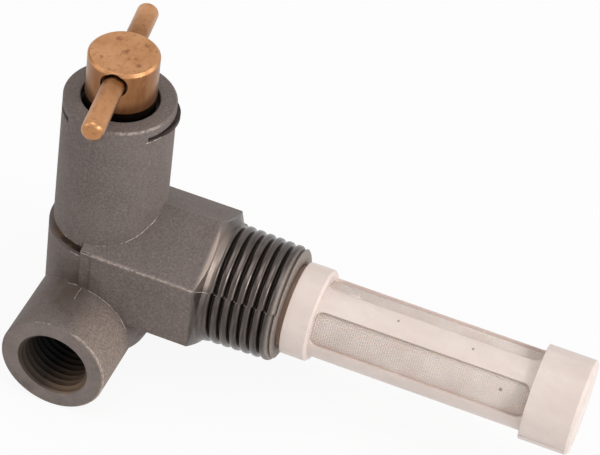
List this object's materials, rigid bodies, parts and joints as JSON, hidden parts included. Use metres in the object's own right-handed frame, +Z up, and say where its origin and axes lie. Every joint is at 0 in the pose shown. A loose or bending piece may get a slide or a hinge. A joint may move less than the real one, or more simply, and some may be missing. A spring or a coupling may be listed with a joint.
{
  "type": "fuel tap",
  "caption": "Screw-down fuel tap: taper-threaded inlet with a long ribbed strainer, side outlet boss, tall barrel and a spindle turned by a tommy bar.",
  "frame": {"origin": "centre of the gauge plane of the inlet's taper thread, on its axis", "axes": "+X along the inlet's axis, out of the tap towards the strainer; -Y out of the outlet; +Z up the spindle's axis"},
  "size_m": [0.0973, 0.037, 0.0628],
  "materials": {
    "cast_body": "die-cast zinc alloy, fine-blasted, dull grey-brown",
    "turned_brass": "turned, dulled",
    "clip_steel": "blackened spring steel",
    "seal_rubber": "matt nitrile rubber",
    "moulded_nylon": "natural moulded nylon",
    "nylon_gauze": "fine woven nylon mesh"
  },
  "bodies": {
    "tap": {"tap_body": "cast_body", "retaining_clip": "clip_steel", "strainer_frame": "moulded_nylon", "strainer_gauze": "nylon_gauze"},
    "valve": {"jumper": "turned_brass", "jumper_washer": "seal_rubber"},
    "key": {"spindle": "turned_brass", "tommy_bar": "turned_brass", "spindle_o_ring": "seal_rubber"}
  },
  "joints": [
    {"name": "spindle_rise", "type": "slide", "parent": "tap", "child": "valve", "axis": [0, 0, 1], "range_m": [0, 0.00375]},
    {"name": "spindle_turn", "type": "hinge", "parent": "valve", "child": "key", "pos_m": [-0.0262, 0, 0], "axis": [0, 0, 1], "range_deg": [0, 900]}
  ],
  "couplings": [
    {"joint": "spindle_turn", "follows": "spindle_rise", "rad_per_m": 4188.8}
  ]
}
